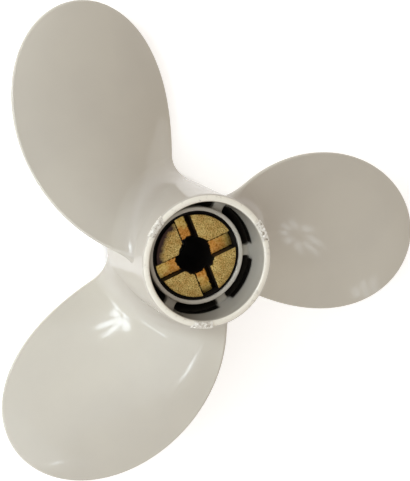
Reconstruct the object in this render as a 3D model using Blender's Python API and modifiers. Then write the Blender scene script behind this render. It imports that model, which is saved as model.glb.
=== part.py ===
"""A small outboard motor propeller: three broad blades on a cast hub, with a rubber mounted brass drive bush.

The origin is on the shaft axis, in the plane of the rear rim that the propeller stands on. +Z runs along the
shaft to the front end, which faces the engine. Angles turn counter-clockwise seen from the front, from +X.
"""

import math

import bmesh
import bpy

MM = 0.001
GAP = 0.3 * MM

BLADE_COUNT = 3
TIP_RADIUS = 94.9 * MM
PITCH = 140.9 * MM
OUTLINE_ROOT_RADIUS = 11.3 * MM
OUTLINE_SPAN = TIP_RADIUS - OUTLINE_ROOT_RADIUS
OUTLINE_HALF_ANGLE = math.radians(51.1)
SKEW_AT_SHAFT = math.radians(12.05)
SKEW_PER_METRE = math.radians(-191.7)
SKEW_CURVE = math.radians(960)
SKEW_CURVE_RADIUS = 60 * MM
BLADE_HEIGHT = 17.3 * MM
RAKE_LINEAR = -1.45 * MM
RAKE_SQUARE = -2.56 * MM
CAMBER_RATIO = 0.022
ROOT_THICKNESS = 6.0 * MM
TIP_THICKNESS = 2.2 * MM
EDGE_RADIUS = 0.7 * MM
EDGE_TAPER = 12 * MM
ROOT_FILLET = 8.5 * MM
FILLET_FLOOR_RADIUS = 22.8 * MM
ROOT_END_RADIUS = 20.8 * MM
LEADING_FILLET_SHARE = 0.3
LEADING_FILLET_FADE = 0.7
TRAILING_FILLET_SHARE = 0.4
LOWEST_EDGE = 0.6 * MM
EDGE_STATIONS = 4
FACE_STATIONS = 10
FILLET_SECTIONS = 6
SPAN_SECTIONS = 14

HUB_LENGTH = 50 * MM
BARREL_FRONT_RADIUS = 23.1 * MM
BARREL_MIDDLE_RADIUS = 23.3 * MM
BARREL_WIDEST_RADIUS = 23.85 * MM
BARREL_MIDDLE_HEIGHT = 35 * MM
TAIL_HEIGHT = 9 * MM
TAIL_TAPER = 3.1 * MM
TAIL_POWER = 1.3
FRONT_EDGE_RADIUS = 1.0 * MM
REAR_EDGE_RADIUS = 0.6 * MM
RIM_INNER_RADIUS = 20.45 * MM
WINDOW_OUTER_RADIUS = 20.2 * MM
REAR_INNER_RADIUS = 18.3 * MM
INNER_TAPER_HEIGHT = 6.5 * MM

SLEEVE_OUTER_RADIUS = 17.18 * MM
SLEEVE_INNER_RADIUS = 15.71 * MM
SLEEVE_FRONT = 38.1 * MM
SLEEVE_REAR = 6 * MM
SLEEVE_EDGE = 0.35 * MM

WEB_COUNT = 6
WEB_THICKNESS = 4 * MM
WEB_FRONT = 36 * MM
WEB_REAR = 8 * MM
WEB_EDGE = 0.5 * MM

PAD_ANGLE = math.radians(23)
PAD_SPAN = math.radians(20)
PAD_HEIGHT = 0.9 * MM
PAD_EDGE = 0.2 * MM
PAD_ARC_STEPS = 6

BUSH_FRONT = 38.3 * MM
FLANGE_RADIUS = 14.5 * MM
FLANGE_THICKNESS = 6.8 * MM
TUBE_RADIUS = 9.5 * MM
SHAFT_BORE_RADIUS = 6.4 * MM
BUSH_REAR = 6 * MM
SLOT_WIDTH = 6.3 * MM
SLOT_DEPTH = 3.8 * MM
SLOT_ANGLE = math.radians(20)
RUBBER_LIP = 1.0 * MM
RUBBER_REAR = 7 * MM

BARREL_STEPS = 90
RING_STEPS = 72
ARC_STEPS = 3

ENAMEL = {"colour": (0.52, 0.49, 0.43), "roughness": 0.3, "metallic": 0.0}
BRASS = {"colour": (0.50, 0.32, 0.10), "roughness": 0.45, "metallic": 1.0}
RUBBER = {"colour": (0.010, 0.008, 0.006), "roughness": 0.8, "metallic": 0.0}


def clear_scene():
    for old in list(bpy.data.objects):
        bpy.data.objects.remove(old, do_unlink=True)


def new_collection(name):
    collection = bpy.data.collections.new(name)
    bpy.context.scene.collection.children.link(collection)
    return collection


def make_material(name, finish):
    material = bpy.data.materials.new(name)
    material.use_nodes = True
    shader = material.node_tree.nodes["Principled BSDF"]
    shader.inputs["Base Color"].default_value = (*finish["colour"], 1.0)
    shader.inputs["Roughness"].default_value = finish["roughness"]
    shader.inputs["Metallic"].default_value = finish["metallic"]
    return material


def add_part(name, mesh, finish, turn=0.0):
    """A sub-part on the shaft's empty, turned about the shaft, with a material of its own."""
    part = bpy.data.objects.new(name, mesh)
    parts.objects.link(part)
    part.parent = shaft
    part.rotation_euler.z = turn
    if not mesh.materials:
        mesh.materials.append(None)
    part.material_slots[0].link = "OBJECT"
    part.material_slots[0].material = make_material(name, finish)
    return part


def add_cutter(name, mesh):
    cutter = bpy.data.objects.new(name, mesh)
    cutters.objects.link(cutter)
    cutter.parent = shaft
    cutter.hide_render = True
    cutter.display_type = "WIRE"
    return cutter


def cut(part, cutter):
    boolean = part.modifiers.new(cutter.name, "BOOLEAN")
    boolean.operation = "DIFFERENCE"
    boolean.solver = "EXACT"
    boolean.object = cutter


def round_edges(part, width, segments=2):
    bevel = part.modifiers.new("rounded edges", "BEVEL")
    bevel.width = width
    bevel.segments = segments
    bevel.limit_method = "ANGLE"


def profile_mesh(name, profile, closed=True):
    """The loop of (radius, height) points that a turned piece is screwed from, down its outer side."""
    points = [(radius, 0, height) for radius, height in profile]
    edges = [(index, index + 1) for index in range(len(points) - 1)]
    if closed:
        edges.append((len(points) - 1, 0))
    mesh = bpy.data.meshes.new(name)
    mesh.from_pydata(points, edges, [])
    return mesh


def turn_profile(part, steps):
    screw = part.modifiers.new("turned", "SCREW")
    screw.angle = 2 * math.pi
    screw.steps = steps
    screw.render_steps = steps
    screw.use_merge_vertices = True
    screw.merge_threshold = 0.00001
    screw.use_smooth_shade = True


def arc(centre, radius, start, end, steps=ARC_STEPS):
    """Points along an arc in a profile, from one angle in degrees to another."""
    angles = [math.radians(start + (end - start) * step / steps) for step in range(steps + 1)]
    return [(centre[0] + radius * math.cos(a), centre[1] + radius * math.sin(a)) for a in angles]


def tail_radius(height):
    """The barrel's outside radius over its tapered tail."""
    return BARREL_WIDEST_RADIUS - TAIL_TAPER * ((TAIL_HEIGHT - height) / TAIL_HEIGHT) ** TAIL_POWER


def barrel_outside():
    """The barrel's outer side from the front rim's edge down to the rear rim's edge."""
    front_centre = (BARREL_FRONT_RADIUS - FRONT_EDGE_RADIUS, HUB_LENGTH - FRONT_EDGE_RADIUS)
    rear_centre = (tail_radius(REAR_EDGE_RADIUS) - REAR_EDGE_RADIUS, REAR_EDGE_RADIUS)
    draft = [(BARREL_MIDDLE_RADIUS, BARREL_MIDDLE_HEIGHT), (BARREL_WIDEST_RADIUS, TAIL_HEIGHT + 3 * MM)]
    tail_steps = 5
    tail_heights = [TAIL_HEIGHT * (1 - step / tail_steps) for step in range(tail_steps)]
    tail = [(tail_radius(height), height) for height in tail_heights]
    return arc(front_centre, FRONT_EDGE_RADIUS, 90, 0) + draft + tail + arc(rear_centre, REAR_EDGE_RADIUS, 0, -90)


def make_hub_barrel():
    inside = [
        (REAR_INNER_RADIUS + GAP, 0),
        (REAR_INNER_RADIUS, GAP),
        (WINDOW_OUTER_RADIUS, INNER_TAPER_HEIGHT),
        (WINDOW_OUTER_RADIUS, WEB_FRONT),
        (RIM_INNER_RADIUS, HUB_LENGTH - GAP),
        (RIM_INNER_RADIUS + GAP, HUB_LENGTH),
    ]
    barrel = add_part("hub_barrel", profile_mesh("hub_barrel", barrel_outside() + inside), ENAMEL)
    turn_profile(barrel, BARREL_STEPS)


def ring_profile(outer, inner, front, rear, edge):
    """A plain ring with small chamfers on its four edges."""
    return [
        (outer - edge, front),
        (outer, front - edge),
        (outer, rear + edge),
        (outer - edge, rear),
        (inner + edge, rear),
        (inner, rear + edge),
        (inner, front - edge),
        (inner + edge, front),
    ]


def make_inner_sleeve():
    profile = ring_profile(SLEEVE_OUTER_RADIUS, SLEEVE_INNER_RADIUS, SLEEVE_FRONT, SLEEVE_REAR, SLEEVE_EDGE)
    sleeve = add_part("inner_sleeve", profile_mesh("inner_sleeve", profile), ENAMEL)
    turn_profile(sleeve, RING_STEPS)


def box_mesh(name, low, high):
    """A box between two corners, from a cube primitive."""
    mesh = bpy.data.meshes.new(name)
    shape = bmesh.new()
    bmesh.ops.create_cube(shape, size=1.0)
    size = [top - bottom for bottom, top in zip(low, high)]
    centre = [(top + bottom) / 2 for bottom, top in zip(low, high)]
    bmesh.ops.scale(shape, vec=size, verts=shape.verts)
    bmesh.ops.translate(shape, vec=centre, verts=shape.verts)
    shape.to_mesh(mesh)
    shape.free()
    return mesh


def make_webs():
    """Six short plates that join the sleeve to the barrel, with the exhaust windows between them."""
    half = WEB_THICKNESS / 2
    inner = SLEEVE_OUTER_RADIUS + GAP
    outer = math.sqrt((WINDOW_OUTER_RADIUS - GAP) ** 2 - half**2)
    mesh = box_mesh("web", (inner, -half, WEB_REAR), (outer, half, WEB_FRONT))
    for index in range(WEB_COUNT):
        web = add_part(f"web_{index + 1}", mesh, ENAMEL, 2 * math.pi * index / WEB_COUNT)
        round_edges(web, WEB_EDGE)


def make_rim_pads():
    """Three low arcs on the front rim, where the casting's gates were cut off."""
    inner = RIM_INNER_RADIUS + GAP
    outer = BARREL_FRONT_RADIUS - FRONT_EDGE_RADIUS
    angles = [PAD_SPAN * (step / PAD_ARC_STEPS - 0.5) for step in range(PAD_ARC_STEPS + 1)]
    outline = [(outer, a) for a in angles] + [(inner, a) for a in reversed(angles)]
    for index in range(BLADE_COUNT):
        name = f"rim_pad_{index + 1}"
        curve = bpy.data.curves.new(name, "CURVE")
        curve.dimensions = "2D"
        curve.fill_mode = "BOTH"
        curve.extrude = PAD_HEIGHT / 2
        spline = curve.splines.new("POLY")
        spline.points.add(len(outline) - 1)
        for point, (radius, a) in zip(spline.points, outline):
            point.co = (radius * math.cos(a), radius * math.sin(a), 0, 1)
        spline.use_cyclic_u = True
        pad = add_part(name, curve, ENAMEL, PAD_ANGLE + 2 * math.pi * index / BLADE_COUNT)
        pad.location.z = HUB_LENGTH + GAP + PAD_HEIGHT / 2
        weld = pad.modifiers.new("closed caps", "WELD")
        weld.merge_threshold = 0.00001
        round_edges(pad, PAD_EDGE, 1)


def section_stations(half_chord):
    """Places across a section from -1 at the trailing edge to 1 at the leading edge, close at the two edges."""
    steps = range(EDGE_STATIONS + 1)
    edge = [1 - math.cos(math.pi / 2 * step / EDGE_STATIONS) for step in steps]
    edge = [-1 + min(EDGE_RADIUS / half_chord, 0.3) * share for share in edge]
    reach = edge[-1]
    face = [reach * math.cos(math.pi * step / FACE_STATIONS) for step in range(1, FACE_STATIONS)]
    return edge + face + [-place for place in reversed(edge)]


def fillet_flare(radius):
    """How far the root fillet stands out from the blade's face at a radius."""
    away = min(max(radius - FILLET_FLOOR_RADIUS, 0), ROOT_FILLET)
    return ROOT_FILLET - math.sqrt(ROOT_FILLET**2 - (ROOT_FILLET - away) ** 2)


def blade_section(outline_angle):
    """A closed loop of points around one blade section, on the cylinder of its radius."""
    radius = OUTLINE_ROOT_RADIUS + OUTLINE_SPAN * math.cos(outline_angle)
    held_radius = max(radius, BARREL_WIDEST_RADIUS)
    reach = (held_radius - OUTLINE_ROOT_RADIUS) / OUTLINE_SPAN
    half_angle = OUTLINE_HALF_ANGLE * math.acos(reach) / (math.pi / 2)
    middle = SKEW_AT_SHAFT + SKEW_PER_METRE * held_radius
    middle += SKEW_CURVE * (held_radius - SKEW_CURVE_RADIUS) ** 2
    helix = math.atan2(PITCH, 2 * math.pi * radius)
    flare = fillet_flare(radius)
    half_chord = radius * half_angle / math.cos(helix)
    outward = (held_radius - BARREL_WIDEST_RADIUS) / (TIP_RADIUS - BARREL_WIDEST_RADIUS)
    thickness = ROOT_THICKNESS + (TIP_THICKNESS - ROOT_THICKNESS) * outward

    def surface_point(place, side):
        to_edge = min((1 - abs(place)) * half_chord, (TIP_RADIUS - radius) * (1 - place**2))
        inward = min(to_edge / EDGE_RADIUS, 1)
        rounding = math.sqrt(max(1 - (1 - inward) ** 2, 0))
        fullness = min(to_edge / EDGE_TAPER, 1)
        body = (thickness / 2 - EDGE_RADIUS) * (1 - place**2) * fullness * (2 - fullness)
        lift = CAMBER_RATIO * 2 * half_chord * (1 - place**2)
        rear_trailing = place < 0 and side < 0
        fade = 1 - place**4 * (1 if rear_trailing else LEADING_FILLET_FADE if place > 0 else 0)
        off = lift + side * (EDGE_RADIUS * rounding + body + flare * rounding * fade)
        nose = flare * (1 - inward)
        along = place * half_chord + (LEADING_FILLET_SHARE * nose if place > 0 else 0)
        angle = middle + (along * math.cos(helix) - off * math.sin(helix)) / radius
        angle -= TRAILING_FILLET_SHARE * nose / radius if place < 0 else 0
        height = BLADE_HEIGHT + RAKE_LINEAR * reach + RAKE_SQUARE * reach**2
        height += PITCH * middle / (2 * math.pi) + along * math.sin(helix) + off * math.cos(helix)
        return (radius * math.cos(angle), radius * math.sin(angle), max(height, LOWEST_EDGE))

    stations = section_stations(half_chord)
    front = [surface_point(place, 1) for place in stations]
    rear = [surface_point(place, -1) for place in reversed(stations[1:-1])]
    return front + rear


def blade_outline_angles():
    """Where the sections lie, from inside the barrel to the tip, as angles of the outline's arc cosine."""
    steps = range(FILLET_SECTIONS + 1)
    radii = [FILLET_FLOOR_RADIUS + ROOT_FILLET * (step / FILLET_SECTIONS) ** 1.6 for step in steps]
    radii.insert(0, ROOT_END_RADIUS)
    fillet = [math.acos((radius - OUTLINE_ROOT_RADIUS) / OUTLINE_SPAN) for radius in radii]
    last = fillet.pop()
    tip = math.radians(8)
    outer = [last + (tip - last) * step / SPAN_SECTIONS for step in range(SPAN_SECTIONS + 1)]
    return fillet + outer + [math.radians(5), math.radians(2.5), math.radians(0.8)]


def blade_mesh():
    """A blade lofted through its sections, from inside the barrel's wall to the tip."""
    shape = bmesh.new()
    loops = []
    for outline_angle in blade_outline_angles():
        loops.append([shape.verts.new(point) for point in blade_section(outline_angle)])
    count = len(loops[0])
    for near, far in zip(loops, loops[1:]):
        for index in range(count):
            following = (index + 1) % count
            shape.faces.new((near[index], near[following], far[following], far[index]))
    shape.faces.new(list(reversed(loops[0])))
    shape.faces.new(loops[-1])
    bmesh.ops.recalc_face_normals(shape, faces=shape.faces)
    mesh = bpy.data.meshes.new("blade")
    shape.to_mesh(mesh)
    shape.free()
    mesh.shade_smooth()
    return mesh


def make_blades():
    clear_side = [(radius + GAP, height) for radius, height in barrel_outside()]
    beyond = 20 * MM
    profile = [(clear_side[0][0], HUB_LENGTH + beyond)] + clear_side[ARC_STEPS:-ARC_STEPS]
    profile.append((clear_side[-ARC_STEPS][0], -beyond))
    profile += [(SHAFT_BORE_RADIUS, -beyond), (SHAFT_BORE_RADIUS, HUB_LENGTH + beyond)]
    clearance = add_cutter("barrel_clearance", profile_mesh("barrel_clearance", profile))
    turn_profile(clearance, BARREL_STEPS)
    mesh = blade_mesh()
    for index in range(BLADE_COUNT):
        blade = add_part(f"blade_{index + 1}", mesh, ENAMEL, 2 * math.pi * index / BLADE_COUNT)
        cut(blade, clearance)


def make_rubber_bush():
    """The black rubber between the sleeve and the brass, with a thin lip around the bush's flange."""
    outer = SLEEVE_INNER_RADIUS - GAP
    under_flange = BUSH_FRONT - FLANGE_THICKNESS - GAP
    profile = [
        (outer, BUSH_FRONT - RUBBER_LIP),
        (outer, RUBBER_REAR),
        (TUBE_RADIUS + GAP, RUBBER_REAR),
        (TUBE_RADIUS + GAP, under_flange),
        (FLANGE_RADIUS + GAP, under_flange),
        (FLANGE_RADIUS + GAP, BUSH_FRONT - RUBBER_LIP),
    ]
    rubber = add_part("rubber_bush", profile_mesh("rubber_bush", profile), RUBBER)
    turn_profile(rubber, RING_STEPS)


def make_drive_bush():
    """The brass bush: a flange with crossed slots for the drive pin, and a tube for the shaft."""
    flange_rear = BUSH_FRONT - FLANGE_THICKNESS
    profile = [
        (FLANGE_RADIUS - GAP, BUSH_FRONT),
        (FLANGE_RADIUS, BUSH_FRONT - GAP),
        (FLANGE_RADIUS, flange_rear),
        (TUBE_RADIUS, flange_rear),
        (TUBE_RADIUS, BUSH_REAR),
        (SHAFT_BORE_RADIUS, BUSH_REAR),
        (SHAFT_BORE_RADIUS, BUSH_FRONT - GAP),
        (SHAFT_BORE_RADIUS + GAP, BUSH_FRONT),
    ]
    bush = add_part("drive_bush", profile_mesh("drive_bush", profile), BRASS)
    turn_profile(bush, RING_STEPS)
    low = (-2 * FLANGE_RADIUS, -SLOT_WIDTH / 2, BUSH_FRONT - SLOT_DEPTH)
    high = (2 * FLANGE_RADIUS, SLOT_WIDTH / 2, BUSH_FRONT + SLOT_DEPTH)
    slot_mesh = box_mesh("pin_slot", low, high)
    for index in range(2):
        slot = add_cutter(f"pin_slot_{index + 1}", slot_mesh)
        slot.rotation_euler.z = SLOT_ANGLE + index * math.pi / 2
        cut(bush, slot)


clear_scene()
parts = new_collection("outboard_propeller")
cutters = new_collection("cutters")
shaft = bpy.data.objects.new("shaft_axis", None)
parts.objects.link(shaft)
make_hub_barrel()
make_inner_sleeve()
make_webs()
make_rim_pads()
make_blades()
make_rubber_bush()
make_drive_bush()
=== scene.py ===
"""The looks of a small outboard motor propeller: white enamelled casting, rubber and a slotted brass bush.

Sizes are millimetres in the CAD's frame: the origin is on the shaft axis in the rear rim's plane, and +Z runs
along the shaft to the front end. Angles turn counter-clockwise seen from the front, from +X.
"""

import math

import bmesh
import bpy
from mathutils import Matrix, Vector, geometry, noise


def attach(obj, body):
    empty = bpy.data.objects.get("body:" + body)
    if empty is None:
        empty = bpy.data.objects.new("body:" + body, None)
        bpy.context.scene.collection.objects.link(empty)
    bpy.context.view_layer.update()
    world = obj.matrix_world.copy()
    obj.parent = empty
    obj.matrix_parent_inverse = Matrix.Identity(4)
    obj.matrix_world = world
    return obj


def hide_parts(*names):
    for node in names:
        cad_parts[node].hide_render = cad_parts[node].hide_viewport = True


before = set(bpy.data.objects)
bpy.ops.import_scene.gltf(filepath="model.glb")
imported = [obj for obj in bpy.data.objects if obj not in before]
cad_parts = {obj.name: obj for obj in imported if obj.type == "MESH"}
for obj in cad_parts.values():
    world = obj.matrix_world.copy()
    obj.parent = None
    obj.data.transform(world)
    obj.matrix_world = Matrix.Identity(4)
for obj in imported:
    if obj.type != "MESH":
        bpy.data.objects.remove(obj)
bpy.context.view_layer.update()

MM = 0.001
TURN = 2 * math.pi

# Blades
BLADES = 3
TIP_RADIUS = 94.82
PITCH = 140.9
OUTLINE_ROOT_RADIUS = 11.3
OUTLINE_SPAN = TIP_RADIUS - OUTLINE_ROOT_RADIUS
OUTLINE_HALF_ANGLE = math.radians(51.1)
SKEW_AT_SHAFT = math.radians(12.05)
SKEW_PER_MM = math.radians(-0.1917)
SKEW_CURVE = math.radians(0.00096)
SKEW_CURVE_RADIUS = 60
BLADE_HEIGHT = 17.3
RAKE_LINEAR = -1.45
RAKE_SQUARE = -2.56
CAMBER_RATIO = 0.022
ROOT_THICKNESS = 6.0
TIP_THICKNESS = 2.2
EDGE_RADIUS = 0.7
EDGE_TAPER = 12

# Fillets round the blades' feet
LEADING_FILLET_SHARE = 0.3
LEADING_FILLET_FADE = 0.7
TRAILING_FILLET_SHARE = 0.4
FILLET_TOP_RADIUS = 31.3
LOWEST_FOOT = 0.9

# Barrel
HUB_LENGTH = 50
BARREL_FRONT_RADIUS = 23.1
BARREL_MIDDLE_RADIUS = 23.3
BARREL_WIDEST_RADIUS = 23.85
BARREL_MIDDLE_HEIGHT = 35
BARREL_WIDEST_HEIGHT = 12
TAIL_HEIGHT = 9
TAIL_TAPER = 3.1
TAIL_POWER = 1.3
FRONT_EDGE_RADIUS = 1.0
RIM_ROUNDING = 1.75
REAR_EDGE_RADIUS = 0.6
RIM_INNER_RADIUS = 20.45
WINDOW_OUTER_RADIUS = 20.2
REAR_INNER_RADIUS = 18.3
INNER_TAPER_HEIGHT = 6.5

# The barrel's outside is meshed in thirds, one for each blade
SKIN_TOP = HUB_LENGTH - FRONT_EDGE_RADIUS
SKIN_BOTTOM = REAR_EDGE_RADIUS
SKIN_ROWS = 66
SECTOR_STEPS = 90

# Sleeve and webs
SLEEVE_OUTER_RADIUS = 17.18
SLEEVE_INNER_RADIUS = 15.71
SLEEVE_FRONT = 38.1
SLEEVE_REAR = 6
SLEEVE_EDGE_RADIUS = 0.45
WEBS = 6
WEB_THICKNESS = 4
WEB_FRONT = 36
WEB_REAR = 8
WEB_ROUNDING = 0.7
WEB_FLARE = 0.9

# Brass bush and rubber
BUSH_FRONT = 38.3
BUSH_REAR = 6
FLANGE_RADIUS = 14.5
FLANGE_THICKNESS = 6.8
TUBE_RADIUS = 9.5
SHAFT_BORE_RADIUS = 6.4
SLOT_WIDTH = 6.3
SLOT_DEPTH = 3.8
SLOT_ANGLE = math.radians(20)
DARK_SECTOR_ANGLE = math.radians(158)
WORN_EDGE = 0.12
RUBBER_FRONT = 37.3
RUBBER_REAR = 7

# Gate stubs
PAD_ANGLE = math.radians(23)
PAD_SPAN = math.radians(20)
PAD_HEIGHT = 1.2

# The photograph's camera, in metres, degrees and pixels
CAMERA_PLACE = (-0.17240, 0.10372, 0.55379)
CAMERA_TURN = (-9.777, -18.942, -1.990)
FOCAL_PIXELS = 1602.16
FRAME_WIDTH = 410
FRAME_HEIGHT = 481
OPTICAL_CENTRE = (199.497, 245.092)


def linear(hex_colour):
    """An sRGB hex colour as the linear RGBA that shaders take."""
    channels = [int(hex_colour[place : place + 2], 16) / 255 for place in (1, 3, 5)]
    return [c / 12.92 if c <= 0.04045 else ((c + 0.055) / 1.055) ** 2.4 for c in channels] + [1.0]


def set_inputs(tree, node, inputs):
    """Fills a node's inputs, by name or number, with numbers, hex colours or links.

    A link is given as a socket, or as a node whose first result is meant.
    """
    for name, value in inputs.items():
        named = [socket for socket in node.inputs if socket.enabled and socket.name == name]
        socket = named[0] if named else node.inputs[name]
        if isinstance(value, bpy.types.Node):
            value = next(result for result in value.outputs if result.enabled)
        if isinstance(value, bpy.types.NodeSocket):
            tree.links.new(value, socket)
        else:
            socket.default_value = linear(value) if isinstance(value, str) else value


def add_node(tree, kind, inputs, stops=(), **settings):
    """Adds a shader node with its settings, its inputs and a colour ramp's (position, hex colour) stops."""
    node = tree.nodes.new("ShaderNode" + kind)
    for name, value in settings.items():
        setattr(node, name, value)
    if stops:
        elements = node.color_ramp.elements
        while len(elements) < len(stops):
            elements.new(0.5)
        for element, (position, colour) in zip(elements, stops):
            element.position = position
            element.color = linear(colour)
    set_inputs(tree, node, inputs)
    return node


def new_material(name):
    """A material, its node tree, its Principled shader and a coordinate in millimetres from the origin.

    In these coordinates the scale of a noise is 1 / the size of its features.
    """
    material = bpy.data.materials.new(name)
    material.use_nodes = True
    tree = material.node_tree
    metres = add_node(tree, "TexCoord", {}).outputs["Object"]
    place = add_node(tree, "VectorMath", {0: metres, "Scale": 1 / MM}, operation="SCALE")
    return material, tree, tree.nodes["Principled BSDF"], place


def lay_over(tree, colour, layer, *masks):
    """Lays a colour over another where every mask is 1, and partly where they fall between 0 and 1."""
    share = masks[0]
    for mask in masks[1:]:
        share = add_node(tree, "Math", {0: share, 1: mask}, operation="MULTIPLY")
    return add_node(tree, "Mix", {"Factor": share, "A": colour, "B": layer}, data_type="RGBA")


def turned_axes(tree, place, angle):
    """Distances along and across a line that crosses the shaft at this angle."""
    turned = add_node(tree, "VectorRotate", {"Vector": place, "Angle": -angle}, rotation_type="Z_AXIS")
    sides = add_node(tree, "SeparateXYZ", {"Vector": turned})
    return sides.outputs["X"], sides.outputs["Y"]


def shaft_distance(tree, place):
    """The distance from the shaft's axis."""
    flat = add_node(tree, "VectorMath", {0: place, 1: (1, 1, 0)}, operation="MULTIPLY")
    return add_node(tree, "VectorMath", {0: flat}, operation="LENGTH")


def bore_grease_and_shade(tree, place):
    """1 on the uneven black rim round the shaft bore: painted shade at its mouth, partly grease."""
    lumps = add_node(tree, "TexNoise", {"Vector": place, "Scale": 1 / 1.6, "Detail": 3.0, "Roughness": 0.6})
    centre_distance = shaft_distance(tree, place)
    reach = add_node(tree, "Math", {0: lumps, 1: 3.0, 2: centre_distance}, operation="MULTIPLY_ADD")
    return add_node(tree, "MapRange", {"Value": reach, "From Min": 8.2, "From Max": 8.0})


def enamel_material():
    """Baked white enamel: warm grey-white and glossy, faintly wavy, with a sprayed coat's orange peel.

    The front rim's flat top is lighter cream in patches, partly rubbed wear and partly a painted highlight.
    The barrel is greyed near the blades' feet as painted shade. The hollow is greyed as painted shade, the
    wall between the webs is painted black as shade, and the windows are painted darker deeper down as shade.
    """
    material, tree, shader, place = new_material("white_enamel_sprayed")
    clouds = add_node(tree, "TexNoise", {"Vector": place, "Scale": 1 / 28, "Detail": 3.0})
    colour = add_node(tree, "ValToRGB", {"Fac": clouds}, [(0.35, "#ccc7bb"), (0.65, "#d1ccbf")])
    across = shaft_distance(tree, place)
    sides = add_node(tree, "SeparateXYZ", {"Vector": place}).outputs
    height = sides["Z"]

    rim = RIM_INNER_RADIUS
    hollow = add_node(tree, "MapRange", {"Value": across, "From Min": rim + 0.3, "From Max": rim + 0.05})
    outside = add_node(tree, "MapRange", {"Value": across, "From Min": rim + 0.05, "From Max": rim + 0.3})

    # Painted shade: the hollow is greyed, most strongly on the inner wall.
    wall = WINDOW_OUTER_RADIUS
    hollow_shade_range = {"From Min": wall - 0.8, "From Max": wall - 0.2, "To Min": 0.05, "To Max": 0.4}
    hollow_shade = add_node(tree, "MapRange", {"Value": across, **hollow_shade_range})
    colour = lay_over(tree, colour, "#84817c", hollow, hollow_shade)

    # Painted shade: the wall between the webs is painted near black below the webs' front edge.
    bearing = add_node(tree, "Math", {0: sides["Y"], 1: sides["X"]}, operation="ARCTAN2")
    web_turns = add_node(tree, "Math", {0: bearing, 1: WEBS}, operation="MULTIPLY")
    web_waves = add_node(tree, "Math", {0: web_turns}, operation="COSINE")
    between_webs = add_node(tree, "MapRange", {"Value": web_waves, "From Min": 0.8, "From Max": 0.6})
    on_wall = add_node(tree, "MapRange", {"Value": across, "From Min": wall - 0.2, "From Max": wall - 0.1})
    front = WEB_FRONT
    below = add_node(tree, "MapRange", {"Value": height, "From Min": front + 4, "From Max": front + 2.5})
    colour = lay_over(tree, colour, "#161411", hollow, between_webs, on_wall, below)

    # Painted shade: the hollow is painted darker deeper in the windows, and made rougher there.
    deep = add_node(tree, "MapRange", {"Value": height, "From Min": front + 0.2, "From Max": front - 2.5})
    deep_shade = add_node(tree, "Math", {0: hollow, 1: deep}, operation="MULTIPLY")
    colour = lay_over(tree, colour, "#464138", deep_shade)
    # Painted shade: the outside is greyed towards the barrel, near the blades' feet.
    foot_shade = add_node(tree, "MapRange", {"Value": across, "From Min": 30, "From Max": 24, "To Max": 0.45})
    colour = lay_over(tree, colour, "#b0a8a0", foot_shade, outside)

    # The rim's flat top is lighter cream in patches: partly rubbed wear, partly a painted highlight.
    scuffs = add_node(tree, "TexNoise", {"Vector": place, "Scale": 1 / 2.2, "Detail": 3.0, "Roughness": 0.6})
    wear_and_highlight = add_node(tree, "MapRange", {"Value": scuffs, "From Min": 0.16, "From Max": 0.42})
    top = HUB_LENGTH
    on_rim = add_node(tree, "MapRange", {"Value": height, "From Min": top - 0.5, "From Max": top - 0.25})
    colour = lay_over(tree, colour, "#f8f4e6", wear_and_highlight, on_rim)

    roughness = add_node(tree, "MapRange", {"Value": deep_shade, "To Min": 0.09, "To Max": 0.75})
    waves = add_node(tree, "TexNoise", {"Vector": place, "Scale": 1 / 9, "Detail": 1.0})
    wavy = add_node(tree, "Bump", {"Strength": 1.0, "Distance": 0.04 * MM, "Height": waves})
    peel = add_node(tree, "TexNoise", {"Vector": place, "Scale": 1 / 1.6, "Detail": 2.0})
    peeled = add_node(tree, "Bump", {"Strength": 0.06, "Distance": 0.05 * MM, "Height": peel, "Normal": wavy})
    set_inputs(tree, shader, {"Base Color": colour, "Roughness": roughness, "Normal": peeled, "IOR": 1.5})
    return material


def rough_enamel_material():
    """The same enamel over a broken gate: lumpy, painted brown in the pits as shade, lighter on the lumps."""
    material, tree, shader, place = new_material("white_enamel_over_rough_casting")
    lumps = add_node(tree, "TexNoise", {"Vector": place, "Scale": 1 / 0.9, "Detail": 4.0, "Roughness": 0.6})
    # The pits are painted darker as shade, and the tops of the lumps lighter.
    shades = [(0.34, "#8d8271"), (0.42, "#d9d4c8"), (0.6, "#f2efe6")]
    colour = add_node(tree, "ValToRGB", {"Fac": lumps}, shades)
    bump = add_node(tree, "Bump", {"Strength": 0.7, "Distance": 0.25 * MM, "Height": lumps})
    set_inputs(tree, shader, {"Base Color": colour, "Roughness": 0.32, "Normal": bump})
    return material


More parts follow.
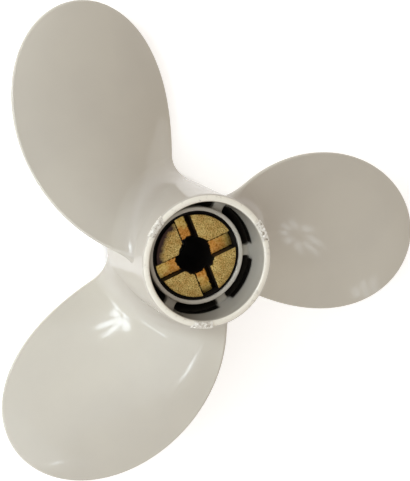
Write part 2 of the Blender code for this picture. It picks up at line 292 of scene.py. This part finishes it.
def brass_face_material():
    """Sand-cast brass faced flat: dull gold grains with dark pits, one sector purple-brown near its edge."""
    material, tree, shader, place = new_material("brass_cast_faced")
    grains = add_node(tree, "TexNoise", {"Vector": place, "Scale": 1 / 0.45, "Detail": 6.0, "Roughness": 0.8})
    blots = add_node(tree, "TexNoise", {"Vector": place, "Scale": 1 / 2.6, "Detail": 3.0, "Roughness": 0.6})
    bright_golds = [(0.38, "#1f160a"), (0.43, "#b29450"), (0.5, "#e4ca7c"), (0.63, "#fff2b4")]
    dull_golds = [(0.36, "#3a2b14"), (0.42, "#a3833f"), (0.6, "#ecc67c")]
    bright = add_node(tree, "ValToRGB", {"Fac": grains}, bright_golds)
    dull = add_node(tree, "ValToRGB", {"Fac": grains}, dull_golds)
    dulled = add_node(tree, "MapRange", {"Value": blots, "From Min": 0.62, "From Max": 0.35})
    colour = lay_over(tree, bright, dull, dulled)

    # One sector is painted darker purple-brown towards its edge.
    along, across = turned_axes(tree, place, DARK_SECTOR_ANGLE)
    centre_distance = shaft_distance(tree, place)
    reach = add_node(tree, "Math", {0: blots, 1: 3.4, 2: centre_distance}, operation="MULTIPLY_ADD")
    near_edge = add_node(tree, "MapRange", {"Value": reach, "From Min": 13.3, "From Max": 15.2})
    aside = add_node(tree, "Math", {0: across}, operation="ABSOLUTE")
    slope = add_node(tree, "Math", {0: aside, 1: along}, operation="DIVIDE")
    in_sector = add_node(tree, "MapRange", {"Value": slope, "From Min": 0.75, "From Max": 0.55})
    this_side = add_node(tree, "MapRange", {"Value": along, "From Min": 0, "From Max": 0.5})
    colour = lay_over(tree, colour, "#4b3b38", near_edge, in_sector, this_side)
    # Black round the bore's mouth: painted shade, partly grease.
    colour = lay_over(tree, colour, "#140e08", bore_grease_and_shade(tree, place))

    bump = add_node(tree, "Bump", {"Strength": 0.35, "Distance": 0.12 * MM, "Height": grains})
    set_inputs(tree, shader, {"Base Color": colour, "Metallic": 1.0, "Roughness": 0.5, "Normal": bump})
    return material


def brass_slot_material():
    """The milled slot floors: streaked by the cutter, copper-coloured where the drive pin wears them.

    Black is painted along both sides of each slot and round the bore: shade in the corners, partly grease.
    """
    material, tree, shader, place = new_material("brass_milled_slot")
    streaks = add_node(tree, "TexNoise", {"Vector": place, "Scale": 1 / 0.7, "Detail": 5.0, "Roughness": 0.7})
    coppers = [(0.34, "#b8742e"), (0.48, "#e6a44e"), (0.68, "#f8c97c")]
    brasses = [(0.34, "#a8863c"), (0.46, "#ecca6c"), (0.64, "#ffe79c")]
    copper = add_node(tree, "ValToRGB", {"Fac": streaks}, coppers)
    brassy = add_node(tree, "ValToRGB", {"Fac": streaks}, brasses)
    patches = add_node(tree, "TexNoise", {"Vector": place, "Scale": 1 / 5.0, "Detail": 2.0})
    centre_distance = shaft_distance(tree, place)
    outward = add_node(tree, "Math", {0: patches, 1: 12, 2: centre_distance}, operation="MULTIPLY_ADD")
    unworn = add_node(tree, "MapRange", {"Value": outward, "From Min": 15.5, "From Max": 18.5})
    colour = lay_over(tree, copper, brassy, unworn)

    along, across = turned_axes(tree, place, SLOT_ANGLE)
    lengths = [add_node(tree, "Math", {0: side}, operation="ABSOLUTE") for side in (along, across)]
    longer = add_node(tree, "Math", {0: lengths[0], 1: lengths[1]}, operation="SUBTRACT")
    in_first_slot = add_node(tree, "MapRange", {"Value": longer, "From Min": 0, "From Max": 0.1})
    wander = add_node(tree, "MapRange", {"Value": streaks, "To Min": -0.8, "To Max": 0.8})
    black_shade = bore_grease_and_shade(tree, place)
    # Painted shade: the floors are blackened in the corners beside both walls of each slot, partly as grease.
    for shift, start, end in ((-1.1, 1.55, 1.85), (0, -1.6, -1.9)):
        offset = add_node(tree, "Math", {0: shift, 1: across}, operation="SUBTRACT")
        side = add_node(tree, "Mix", {"Factor": in_first_slot, "A": along, "B": offset}, data_type="FLOAT")
        edge = add_node(tree, "Math", {0: side, 1: wander}, operation="ADD")
        shaded_strip = add_node(tree, "MapRange", {"Value": edge, "From Min": start, "From Max": end})
        black_shade = add_node(tree, "Math", {0: black_shade, 1: shaded_strip}, operation="MAXIMUM")
    colour = lay_over(tree, colour, "#140e08", black_shade)

    bump = add_node(tree, "Bump", {"Strength": 0.35, "Distance": 0.08 * MM, "Height": streaks})
    set_inputs(tree, shader, {"Base Color": colour, "Metallic": 1.0, "Roughness": 0.45, "Normal": bump})
    return material


def shaded_brass_material():
    """Brass walls and bore painted nearly black as shade, with a faint brown shine."""
    material, tree, shader, place = new_material("brass_painted_black_as_shade")
    mottle = add_node(tree, "TexNoise", {"Vector": place, "Scale": 1 / 2.0, "Detail": 4.0, "Roughness": 0.6})
    colour = add_node(tree, "ValToRGB", {"Fac": mottle}, [(0.4, "#0a0705"), (0.75, "#1d130a")])
    set_inputs(tree, shader, {"Base Color": colour, "Roughness": 0.55})
    return material


def rubber_material():
    """Moulded black rubber, greasy and matt, with fine crumbs."""
    material, tree, shader, place = new_material("black_rubber_moulded")
    crumbs = add_node(tree, "TexNoise", {"Vector": place, "Scale": 1 / 0.8, "Detail": 4.0, "Roughness": 0.6})
    colour = add_node(tree, "ValToRGB", {"Fac": crumbs}, [(0.4, "#060403"), (0.75, "#17100c")])
    bump = add_node(tree, "Bump", {"Strength": 0.5, "Distance": 0.1 * MM, "Height": crumbs})
    finish = {"Base Color": colour, "Roughness": 0.85, "Specular IOR Level": 0.2, "Normal": bump}
    set_inputs(tree, shader, finish)
    return material


def paper_material():
    """Matt white paper that glows a little, except under the hub, so that it shows as pure white."""
    material, tree, shader, place = new_material("white_paper_floor")
    across = shaft_distance(tree, place)
    glow = add_node(tree, "MapRange", {"Value": across, "From Min": 21, "From Max": 25, "To Max": 0.44})
    set_inputs(tree, shader, {"Base Color": "#f7f7f7", "Roughness": 0.9, "Specular IOR Level": 0.1})
    set_inputs(tree, shader, {"Emission Color": "#ffffff", "Emission Strength": glow})
    return material


def link_object(name, mesh, *materials):
    """Puts a mesh in the scene as an object with its materials."""
    piece = bpy.data.objects.new(name, mesh)
    bpy.context.scene.collection.objects.link(piece)
    for material in materials:
        mesh.materials.append(material)
    return piece


def finish_mesh(name, shape, *materials, sharp=40):
    """Turns a bmesh made in millimetres into a smooth-shaded object in metres."""
    bmesh.ops.recalc_face_normals(shape, faces=shape.faces)
    bmesh.ops.scale(shape, vec=(MM, MM, MM), verts=shape.verts)
    mesh = bpy.data.meshes.new(name)
    shape.to_mesh(mesh)
    shape.free()
    mesh.shade_smooth()
    mesh.set_sharp_from_angle(angle=math.radians(sharp))
    return link_object(name, mesh, *materials)


def apply_modifiers(piece):
    """Gives a piece the mesh that its modifiers make."""
    depsgraph = bpy.context.evaluated_depsgraph_get()
    mesh = bpy.data.meshes.new_from_object(piece.evaluated_get(depsgraph))
    piece.modifiers.clear()
    piece.data = mesh


def arc(centre, radius, start, end, steps):
    """Points along an arc in a profile, from one angle in degrees to another."""
    angles = [math.radians(start + (end - start) * step / steps) for step in range(steps + 1)]
    return [(centre[0] + radius * math.cos(a), centre[1] + radius * math.sin(a)) for a in angles]


def turn_rows(shape, profile, steps, start=0.0, closed=True):
    """Rows of vertices turned about the shaft from a profile of (radius, height), joined by faces."""
    rows = []
    for radius, height in profile:
        angles = [start + TURN * step / steps for step in range(steps)]
        rows.append([shape.verts.new((radius * math.cos(a), radius * math.sin(a), height)) for a in angles])
    pairs = list(zip(rows, rows[1:]))
    if closed:
        pairs.append((rows[-1], rows[0]))
    for upper, lower in pairs:
        join_rows(shape, upper, lower)
    return rows


def join_rows(shape, upper, lower, shift=0):
    """Joins two closed rows of vertices, where the lower one starts a number of vertices further on."""
    count = len(upper)
    for index in range(count):
        following = (index + 1) % count
        below = lower[(index + shift) % count]
        below_following = lower[(following + shift) % count]
        shape.faces.new((upper[index], upper[following], below_following, below))


def rounded_ring(outer, inner, front, rear, radius, steps=5):
    """A ring's profile with four rounded edges."""
    profile = arc((outer - radius, front - radius), radius, 90, 0, steps)
    profile += arc((outer - radius, rear + radius), radius, 0, -90, steps)
    profile += arc((inner + radius, rear + radius), radius, -90, -180, steps)
    return profile + arc((inner + radius, front - radius), radius, 180, 90, steps)


def barrel_radius(height):
    """The barrel's outside radius between its two rounded rims: a slight draft, then the tapered tail."""
    if height < TAIL_HEIGHT:
        return BARREL_WIDEST_RADIUS - TAIL_TAPER * ((TAIL_HEIGHT - height) / TAIL_HEIGHT) ** TAIL_POWER
    if height < BARREL_WIDEST_HEIGHT:
        return BARREL_WIDEST_RADIUS
    drop = BARREL_WIDEST_RADIUS - BARREL_MIDDLE_RADIUS
    if height < BARREL_MIDDLE_HEIGHT:
        share = (height - BARREL_WIDEST_HEIGHT) / (BARREL_MIDDLE_HEIGHT - BARREL_WIDEST_HEIGHT)
        return BARREL_WIDEST_RADIUS - drop * share
    share = (height - BARREL_MIDDLE_HEIGHT) / (HUB_LENGTH - BARREL_MIDDLE_HEIGHT)
    return BARREL_MIDDLE_RADIUS + (BARREL_FRONT_RADIUS - BARREL_MIDDLE_RADIUS) * share


def section_places(half_chord):
    """Places across a section: -1 at the trailing edge, 1 at the leading edge, and closer at both edges."""
    edge_steps = 10
    face_steps = 44
    widest_edge = 0.3
    edge_width = min(EDGE_RADIUS / half_chord, widest_edge)
    edge = []
    for step in range(edge_steps + 1):
        edge.append(-1 + edge_width * (1 - math.cos(math.pi / 2 * step / edge_steps)))
    face = [edge[-1] * math.cos(math.pi * step / face_steps) for step in range(1, face_steps)]
    return edge + face + [-place for place in reversed(edge)]


def blade_outline(radius):
    """The blade on the cylinder of a radius: its reach from 0 to 1, middle angle, helix and half chord."""
    held_radius = max(radius, BARREL_WIDEST_RADIUS)
    reach = (held_radius - OUTLINE_ROOT_RADIUS) / OUTLINE_SPAN
    half_angle = OUTLINE_HALF_ANGLE * math.acos(min(reach, 1)) / (math.pi / 2)
    middle = SKEW_AT_SHAFT + SKEW_PER_MM * held_radius
    middle += SKEW_CURVE * (held_radius - SKEW_CURVE_RADIUS) ** 2
    helix = math.atan2(PITCH, TURN * radius)
    return reach, middle, helix, radius * half_angle / math.cos(helix)


def section_stations(radius):
    """Stations round a blade's section, as (place, side): out along the front face, back along the rear."""
    narrowest = 0.5
    places = section_places(max(blade_outline(radius)[-1], narrowest))
    return [(place, 1) for place in places] + [(place, -1) for place in reversed(places[1:-1])]


def blade_point(radius, place, side, flare):
    """A point of a blade's skin, on the cylinder of its radius: (angle, height).

    The flare is how far the root fillet stands out from the blade there.
    """
    reach, middle, helix, half_chord = blade_outline(radius)
    outward = max(radius - BARREL_WIDEST_RADIUS, 0) / (TIP_RADIUS - BARREL_WIDEST_RADIUS)
    thickness = ROOT_THICKNESS + (TIP_THICKNESS - ROOT_THICKNESS) * outward
    to_edge = min((1 - abs(place)) * half_chord, (TIP_RADIUS - radius) * (1 - place**2))
    inward = min(to_edge / EDGE_RADIUS, 1)
    rounding = math.sqrt(max(1 - (1 - inward) ** 2, 0))
    fullness = min(to_edge / EDGE_TAPER, 1)
    body = (thickness / 2 - EDGE_RADIUS) * (1 - place**2) * fullness * (2 - fullness)
    lift = CAMBER_RATIO * 2 * half_chord * (1 - place**2)
    if place > 0:
        fillet_fade = LEADING_FILLET_FADE
    else:
        fillet_fade = 1 if side < 0 else 0
    fillet = flare * rounding * (1 - place**4 * fillet_fade)
    off = lift + side * (EDGE_RADIUS * rounding + body + fillet)
    nose = flare * (1 - inward)
    along = place * half_chord + (LEADING_FILLET_SHARE * nose if place > 0 else 0)
    angle = middle + (along * math.cos(helix) - off * math.sin(helix)) / radius
    angle -= TRAILING_FILLET_SHARE * nose / radius if place < 0 else 0
    height = BLADE_HEIGHT + RAKE_LINEAR * reach + RAKE_SQUARE * reach**2
    height += PITCH * middle / TURN + along * math.sin(helix) + off * math.cos(helix)
    return angle, height


def fillet_point(place, side, roll):
    """A point of the root fillet, which rolls from the barrel at 0 to the blade at a quarter turn."""
    floor = BARREL_WIDEST_RADIUS
    settling_rounds = 4
    for _ in range(settling_rounds):
        fillet = FILLET_TOP_RADIUS - floor
        foot_height = max(blade_point(floor, place, side, fillet)[1], LOWEST_FOOT)
        floor = barrel_radius(foot_height)
    radius = floor + fillet * (1 - math.cos(roll))
    angle, height = blade_point(radius, place, side, fillet * (1 - math.sin(roll)))
    return radius, angle, max(height, LOWEST_FOOT)


def blade_rows():
    """The blade's closed loops of (radius, angle, height), from its foot on the barrel out to its tip."""
    rows = []
    fillet_steps = 12
    for step in range(fillet_steps):
        roll = math.pi / 2 * step / fillet_steps
        rows.append([fillet_point(place, side, roll) for place, side in section_stations(FILLET_TOP_RADIUS)])
    span_steps = 60
    start = math.acos((FILLET_TOP_RADIUS - OUTLINE_ROOT_RADIUS) / OUTLINE_SPAN)
    short_of_tip = math.radians(0.3)
    for step in range(span_steps + 1):
        outline_angle = start * (1 - step / span_steps) + short_of_tip
        radius = OUTLINE_ROOT_RADIUS + OUTLINE_SPAN * math.cos(outline_angle)
        stations = section_stations(radius)
        rows.append([(radius, *blade_point(radius, place, side, 0.0)) for place, side in stations])
    return rows


def inside_loop(point, loop):
    """Whether a point lies inside a closed flat loop."""
    inside = False
    for near, far in zip(loop, loop[1:] + loop[:1]):
        if (near[1] > point[1]) != (far[1] > point[1]):
            crossing = near[0] + (far[0] - near[0]) * (point[1] - near[1]) / (far[1] - near[1])
            if crossing > point[0]:
                inside = not inside
    return inside


def unwound(angle, height):
    """Flat coordinates on the barrel, unwound along the blades' helix: millimetres round and up."""
    return (angle - TURN * height / PITCH) * BARREL_WIDEST_RADIUS, height


def wound(across, height):
    """The barrel's surface point for flat coordinates."""
    angle = across / BARREL_WIDEST_RADIUS + TURN * height / PITCH
    radius = barrel_radius(height)
    return Vector((radius * math.cos(angle), radius * math.sin(angle), height))


def sector_left(foot):
    """The flat coordinate of the seam at the left of a barrel sector."""
    across = [unwound(angle, height)[0] for _, angle, height in foot]
    return (max(across) + min(across)) / 2 - TURN * BARREL_WIDEST_RADIUS / BLADES / 2


def barrel_sector(foot):
    """A third of the barrel's outside, in flat triangles, with a hole along the foot of a blade."""
    loop = [unwound(angle, height) for _, angle, height in foot]
    left = sector_left(foot)
    spacing = TURN * BARREL_WIDEST_RADIUS / BLADES / SECTOR_STEPS
    columns = [left + spacing * step for step in range(SECTOR_STEPS + 1)]
    heights = [SKIN_BOTTOM + (SKIN_TOP - SKIN_BOTTOM) * row / SKIN_ROWS for row in range(SKIN_ROWS + 1)]
    clearance = 0.6 * spacing
    points = [Vector(point) for point in loop]
    edges = [(index, (index + 1) % len(loop)) for index in range(len(loop))]
    for height in heights:
        for column in columns:
            border = height in (heights[0], heights[-1]) or column in (columns[0], columns[-1])
            near = min((column - x) ** 2 + (height - y) ** 2 for x, y in loop) < clearance**2
            if border or not (near or inside_loop((column, height), loop)):
                points.append(Vector((column, height)))
    same_point = 0.00001
    flat, _, faces, *_ = geometry.delaunay_2d_cdt(points, edges, [], 0, same_point)
    kept = []
    for face in faces:
        middle = sum((flat[index] for index in face), Vector((0, 0))) / len(face)
        if not inside_loop(middle, loop):
            kept.append(face)
    return flat, kept


def rim_profile():
    """The front rim from outside to inside: a wide rounding, then a tighter one down to the inner wall."""
    crown = barrel_radius(SKIN_TOP) - RIM_ROUNDING
    quarter_steps = 10
    profile = []
    for step in range(2 * quarter_steps + 1):
        turn = math.pi / 2 * step / quarter_steps
        spread = RIM_ROUNDING if step < quarter_steps else crown - RIM_INNER_RADIUS
        profile.append((crown + spread * math.cos(turn), SKIN_TOP + FRONT_EDGE_RADIUS * math.sin(turn)))
    return profile


def wall_profile():
    """The barrel's inner wall, from the front rim down to the rounded rear edge of the tail."""
    steps = 6
    narrowing = (RIM_INNER_RADIUS - WINDOW_OUTER_RADIUS) / steps
    drop = (SKIN_TOP - WEB_FRONT) / steps
    profile = [(RIM_INNER_RADIUS - narrowing * step, SKIN_TOP - drop * step) for step in range(1, steps + 1)]
    profile += [(WINDOW_OUTER_RADIUS, HUB_LENGTH / 2), (WINDOW_OUTER_RADIUS, INNER_TAPER_HEIGHT)]
    edge = 0.5
    return profile + arc((REAR_INNER_RADIUS + edge, edge), edge, 180, 270, 4)


def casting_mesh():
    """The outer casting as one skin: barrel, root fillets, blades, front rim, inner wall and rear rim."""
    shape = bmesh.new()
    rows = blade_rows()
    flat, faces = barrel_sector(rows[0])
    for blade in range(BLADES):
        turn = Matrix.Rotation(TURN * blade / BLADES, 3, "Z")
        skin = [shape.verts.new(turn @ wound(*point)) for point in flat]
        for face in faces:
            shape.faces.new([skin[index] for index in face])
        loops = []
        for row in rows:
            points = [Vector((r * math.cos(a), r * math.sin(a), z)) for r, a, z in row]
            loops.append([shape.verts.new(turn @ point) for point in points])
        for near, far in zip(loops, loops[1:]):
            join_rows(shape, near, far)
        shape.faces.new(loops[-1])
    steps = SECTOR_STEPS * BLADES
    left = sector_left(rows[0])
    top_start = left / BARREL_WIDEST_RADIUS + TURN * SKIN_TOP / PITCH
    rings = turn_rows(shape, rim_profile() + wall_profile(), steps, top_start, closed=False)
    tail = barrel_radius(SKIN_BOTTOM)
    rear = arc((tail - REAR_EDGE_RADIUS, REAR_EDGE_RADIUS), REAR_EDGE_RADIUS, -90, 0, 6)
    bottom_start = left / BARREL_WIDEST_RADIUS + TURN * SKIN_BOTTOM / PITCH
    rear_rings = turn_rows(shape, rear, steps, bottom_start, closed=False)
    shift = round((top_start - bottom_start) / TURN * steps)
    join_rows(shape, rings[-1], rear_rings[0], shift)
    seam_gap = 0.002
    bmesh.ops.remove_doubles(shape, verts=shape.verts, dist=seam_gap)
    return shape


def make_casting(enamel):
    """The cast hub with its three blades, which stands for four of the CAD's nodes."""
    casting = finish_mesh("cast_hub_and_blades", casting_mesh(), enamel, sharp=60)
    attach(casting, "root")
    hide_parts("hub_barrel", "blade_1", "blade_2", "blade_3")


def make_sleeve(enamel):
    """The ring that holds the rubber, with rounded edges."""
    shape = bmesh.new()
    sides = (SLEEVE_OUTER_RADIUS, SLEEVE_INNER_RADIUS, SLEEVE_FRONT, SLEEVE_REAR)
    turn_rows(shape, rounded_ring(*sides, SLEEVE_EDGE_RADIUS), 180)
    sleeve = finish_mesh("inner_sleeve_ring", shape, enamel)
    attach(sleeve, "root")
    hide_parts("inner_sleeve")


def web_outline():
    """One web seen from the front, half in the sleeve and half in the barrel's wall, flared into both."""
    overlap = 0.2
    inner = SLEEVE_OUTER_RADIUS - overlap
    outer = WINDOW_OUTER_RADIUS + overlap
    steps = 12
    side = []
    for step in range(steps + 1):
        share = step / steps
        flare = WEB_FLARE * abs(2 * share - 1) ** 4
        side.append((inner + (outer - inner) * share, WEB_THICKNESS / 2 + flare))
    return side + [(x, -y) for x, y in reversed(side)]


def make_webs(enamel):
    """Six webs between sleeve and barrel, each with a rounded front edge and flared ends."""
    for index in range(WEBS):
        shape = bmesh.new()
        front_edge = arc((0, WEB_FRONT - WEB_ROUNDING), WEB_ROUNDING, 0, 90, 4)
        rows = []
        for inset, height in [(0.0, WEB_REAR)] + [(WEB_ROUNDING - x, z) for x, z in front_edge]:
            ring = []
            for x, y in web_outline():
                ring.append(shape.verts.new((x, y - math.copysign(inset, y), height)))
            rows.append(ring)
        for lower, upper in zip(rows, rows[1:]):
            join_rows(shape, lower, upper)
        shape.faces.new(rows[0])
        shape.faces.new(rows[-1])
        bmesh.ops.rotate(shape, verts=shape.verts, matrix=Matrix.Rotation(TURN * index / WEBS, 3, "Z"))
        web = finish_mesh(f"exhaust_web_{index + 1}", shape, enamel, sharp=50)
        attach(web, "root")
        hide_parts(f"web_{index + 1}")


def make_gate_stubs(rough_enamel):
    """The three stubs on the front rim where the gates were broken off: low, lumpy and stepped at one end.

    Each reads its own layer of the noise, so that no two are alike.
    """
    for index in range(BLADES):
        shape = bmesh.new()
        around = 64
        across = 22
        edge_width = 0.5
        broken_end = 0.30
        steep_end = 0.04
        tallest = PAD_HEIGHT - 0.2
        sunk_edge = 0.35
        noise_layer = 7.0 * index
        middle = PAD_ANGLE + TURN * index / BLADES
        inner = RIM_INNER_RADIUS + 0.25
        outer = BARREL_FRONT_RADIUS + 0.15
        rows = []
        for step in range(around + 1):
            share = step / around
            angle = middle + PAD_SPAN * (share - 0.5)
            row = []
            for cross in range(across + 1):
                width_share = cross / across
                radius = inner + (outer - inner) * width_share
                edge = min(width_share, 1 - width_share) * (outer - inner) / edge_width
                end = min(share / broken_end, (1 - share) / steep_end)
                dome = math.sqrt(max(1 - (1 - min(edge, 1)) ** 2, 0)) * math.sin(math.pi / 2 * min(end, 1))
                spot = Vector((radius * math.cos(angle), radius * math.sin(angle), noise_layer))
                lump = noise.fractal(spot * 0.9, 1.0, 2.0, 4)
                rise = tallest * dome * (0.75 + 0.35 * lump) - sunk_edge
                row.append(shape.verts.new((spot.x, spot.y, HUB_LENGTH + rise)))
            rows.append(row)
        for near, far in zip(rows, rows[1:]):
            for cross in range(across):
                shape.faces.new((near[cross], near[cross + 1], far[cross + 1], far[cross]))
        border = [edge for edge in shape.edges if edge.is_boundary]
        lower = bmesh.ops.extrude_edge_only(shape, edges=border)["geom"]
        ring = [item for item in lower if isinstance(item, bmesh.types.BMVert)]
        for vert in ring:
            vert.co.z = HUB_LENGTH - 0.9
        bmesh.ops.holes_fill(shape, edges=[edge for edge in shape.edges if edge.is_boundary])
        stub = finish_mesh(f"gate_stub_{index + 1}", shape, rough_enamel, sharp=70)
        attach(stub, "root")
        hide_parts(f"rim_pad_{index + 1}")


def make_rubber(rubber):
    """The rubber ring: a thin uneven lip round the flange, and the thick part behind it."""
    shape = bmesh.new()
    overlap = 0.1
    outer = SLEEVE_INNER_RADIUS + overlap
    inner = TUBE_RADIUS - overlap
    beside_flange = FLANGE_RADIUS + 0.15
    under_flange = BUSH_FRONT - FLANGE_THICKNESS - 0.2
    edge = 0.5
    profile = [(outer, RUBBER_REAR + edge), (outer - edge, RUBBER_REAR), (inner, RUBBER_REAR)]
    profile += [(inner, under_flange), (beside_flange, under_flange)]
    lip_centre = ((outer + beside_flange) / 2, RUBBER_FRONT - edge)
    lip = arc(lip_centre, (outer - beside_flange) / 2, 180, 0, 8)
    rows = turn_rows(shape, profile + lip, 240)
    for row in rows[len(profile):]:
        for vert in row:
            vert.co.z += 0.25 * noise.noise(vert.co * 0.45) + 0.1 * noise.noise(vert.co * 1.7)
    ring = finish_mesh("rubber_bush_ring", shape, rubber)
    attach(ring, "root")
    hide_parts("rubber_bush")


def slot_cutter(index):
    """A bar the size of one pin slot, across the front of the bush."""
    cutter_mesh = bpy.data.meshes.new(f"slot_cutter_{index}")
    shape = bmesh.new()
    bmesh.ops.create_cube(shape, size=1)
    size = (4 * FLANGE_RADIUS * MM, SLOT_WIDTH * MM, 2 * SLOT_DEPTH * MM)
    bmesh.ops.scale(shape, vec=size, verts=shape.verts)
    bmesh.ops.translate(shape, vec=(0, 0, BUSH_FRONT * MM), verts=shape.verts)
    turn = Matrix.Rotation(SLOT_ANGLE + index * TURN / 4, 3, "Z")
    bmesh.ops.rotate(shape, verts=shape.verts, matrix=turn)
    shape.to_mesh(cutter_mesh)
    shape.free()
    return link_object(cutter_mesh.name, cutter_mesh)


def bush_profile():
    """The bush's section: a flange with a worn front edge on a tube with rounded ends."""
    outer_edge = 0.25
    bore_edge = 0.3
    rear_edge = 0.4
    flange_rear = BUSH_FRONT - FLANGE_THICKNESS
    rear = BUSH_REAR + rear_edge
    profile = arc((FLANGE_RADIUS - outer_edge, BUSH_FRONT - outer_edge), outer_edge, 90, 0, 4)
    profile += [(FLANGE_RADIUS, flange_rear), (TUBE_RADIUS, flange_rear)]
    profile += arc((TUBE_RADIUS - rear_edge, rear), rear_edge, 0, -90, 3)
    profile += arc((SHAFT_BORE_RADIUS + rear_edge, rear), rear_edge, -90, -180, 3)
    return profile + arc((SHAFT_BORE_RADIUS + bore_edge, BUSH_FRONT - bore_edge), bore_edge, 180, 90, 4)


def finish_bush_faces(bush):
    """Gives the slots' floors the second material and the slots' walls and the bore the third."""
    # The third material paints the slots' walls and the bore near black as shade.
    face, slot_floor, black_shade = range(3)
    close = 0.05
    for polygon in bush.data.polygons:
        radius = math.hypot(polygon.center.x, polygon.center.y) / MM
        height = polygon.center.z / MM
        inside = radius < FLANGE_RADIUS - close or height < BUSH_FRONT - 1
        polygon.material_index = face
        if abs(height - (BUSH_FRONT - SLOT_DEPTH)) < close and polygon.normal.z > 0.9:
            polygon.material_index = slot_floor
        elif abs(polygon.normal.z) < 0.5 and inside:
            polygon.material_index = black_shade


def make_drive_bush(face, slot_floor, black_shade):
    """The brass bush, with crossed slots cut through its flange and each surface's own finish."""
    shape = bmesh.new()
    turn_rows(shape, bush_profile(), 240)
    bush = finish_mesh("slotted_drive_bush", shape, face, slot_floor, black_shade, sharp=35)
    cutters = [slot_cutter(index) for index in range(2)]
    for cutter in cutters:
        boolean = bush.modifiers.new(cutter.name, "BOOLEAN")
        boolean.operation = "DIFFERENCE"
        boolean.object = cutter
    bevel = bush.modifiers.new("worn edges", "BEVEL")
    bevel.width = WORN_EDGE * MM
    bevel.segments = 2
    bevel.limit_method = "ANGLE"
    bevel.angle_limit = math.radians(60)
    apply_modifiers(bush)
    for cutter in cutters:
        bpy.data.objects.remove(cutter, do_unlink=True)
    finish_bush_faces(bush)
    bush.data.shade_smooth()
    bush.data.set_sharp_from_angle(angle=math.radians(35))
    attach(bush, "root")
    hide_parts("drive_bush")


def add_lamp(name, shape, size, watts, place, rotation, grid):
    """A flat light; its grid keeps the light to a full angle in degrees, and takes the rest away."""
    light = bpy.data.lights.new(name, "AREA")
    light.shape = shape
    light.size, light.size_y = size
    half_angle = math.radians(grid) / 2
    light.spread = 2 * half_angle
    light.energy = watts * (1 - half_angle / math.tan(half_angle))
    light.color = linear("#eaf6ff")[:3]
    lamp = bpy.data.objects.new(name, light)
    lamp.matrix_world = Matrix.LocRotScale(place, rotation, None)
    bpy.context.scene.collection.objects.link(lamp)


def add_petal_lamp(name, centre, aim, inner, outer, width, watts, squash, grid=180):
    """A studio lamp with a ribbed reflector: eight narrow soft lights set round its centre like petals.

    The petals reach from the inner to the outer radius, in metres, and squash narrows the ring sideways.
    """
    petals = 8
    direction = Vector(aim) - Vector(centre)
    facing = direction.to_track_quat("-Z", "Y").to_matrix()
    for petal in range(petals):
        turn = TURN * petal / petals
        along = Vector((squash * math.cos(turn), math.sin(turn), 0))
        narrowing = math.hypot(squash * math.sin(turn), math.cos(turn))
        size = ((outer - inner) * along.length, width * narrowing)
        share = watts / petals * along.length * narrowing
        spin = Matrix.Rotation(math.atan2(along.y, along.x), 3, "Z")
        place = Vector(centre) + facing @ along * (inner + outer) / 2
        swing = direction.rotation_difference(Vector(aim) - place)
        rotation = swing @ (facing @ spin).to_quaternion()
        add_lamp(f"{name}_{petal + 1}", "ELLIPSE", size, share, place, rotation, grid)


def add_soft_light(name, place, aim, size, watts, grid=180):
    """A softbox or strip light that faces its aim."""
    rotation = (Vector(aim) - Vector(place)).to_track_quat("-Z", "Y")
    add_lamp(name, "RECTANGLE", size, watts, Vector(place), rotation, grid)


def make_floor():
    """A sheet of white paper, six metres square."""
    shape = bmesh.new()
    bmesh.ops.create_grid(shape, x_segments=1, y_segments=1, size=3000)
    floor = finish_mesh("white_floor", shape, paper_material())


def make_lights():
    """Even light all round, softboxes on the left, and strips and petal lamps that the enamel mirrors."""
    world = bpy.data.worlds.new("soft_studio_air")
    bpy.context.scene.world = world
    world.use_nodes = True
    air = {"Color": "#fff5ec", "Strength": 0.54}
    set_inputs(world.node_tree, world.node_tree.nodes["Background"], air)
    add_soft_light("left_softbox", place=(-1.68, 0.06, 1.10), aim=(0, 0, 0), size=(3.0, 3.0), watts=18.0)
    add_soft_light("low_left_softbox", place=(-1.33, -0.77, 1.29), aim=(0, 0, 0), size=(1.6, 1.6), watts=3.6)
    add_soft_light(
        "tall_strip",
        place=(-0.86, -0.207, 0.524),
        aim=(-0.013, -0.027, 0.024),
        size=(0.04, 0.42),
        watts=0.6,
    )
    add_soft_light(
        "short_strip",
        place=(-0.357, -0.48, 0.854),
        aim=(-0.003, -0.042, 0.027),
        size=(0.03, 0.08),
        watts=0.13,
        grid=7,
    )
    add_petal_lamp(
        "left_lamp",
        centre=(-0.76, 0.43, 0.50),
        aim=(-0.025, -0.025, 0.015),
        inner=0.05,
        outer=0.27,
        width=0.08,
        watts=3.8,
        squash=0.6,
    )
    add_petal_lamp(
        "right_lamp",
        centre=(0.630, -0.977, 0.43),
        aim=(0.047, -0.001, 0.02),
        inner=0.03,
        outer=0.19,
        width=0.05,
        watts=0.5,
        squash=0.9,
        grid=6,
    )


def make_camera():
    """The photograph's view: tilted off the shaft by about 21 degrees."""
    data = bpy.data.cameras.new("photo_camera")
    data.sensor_width = 36
    data.lens = FOCAL_PIXELS / FRAME_HEIGHT * data.sensor_width
    data.shift_x = (FRAME_WIDTH / 2 - OPTICAL_CENTRE[0]) / FRAME_HEIGHT
    data.shift_y = (OPTICAL_CENTRE[1] - FRAME_HEIGHT / 2) / FRAME_HEIGHT
    camera = bpy.data.objects.new("photo_camera", data)
    camera.location = CAMERA_PLACE
    camera.rotation_euler = [math.radians(turn) for turn in CAMERA_TURN]
    bpy.context.scene.collection.objects.link(camera)
    bpy.context.scene.camera = camera


bpy.context.scene.view_settings.view_transform = "Standard"
make_camera()
enamel = enamel_material()
make_casting(enamel)
make_sleeve(enamel)
make_webs(enamel)
make_gate_stubs(rough_enamel_material())
make_rubber(rubber_material())
make_drive_bush(brass_face_material(), brass_slot_material(), shaded_brass_material())
make_floor()
make_lights()
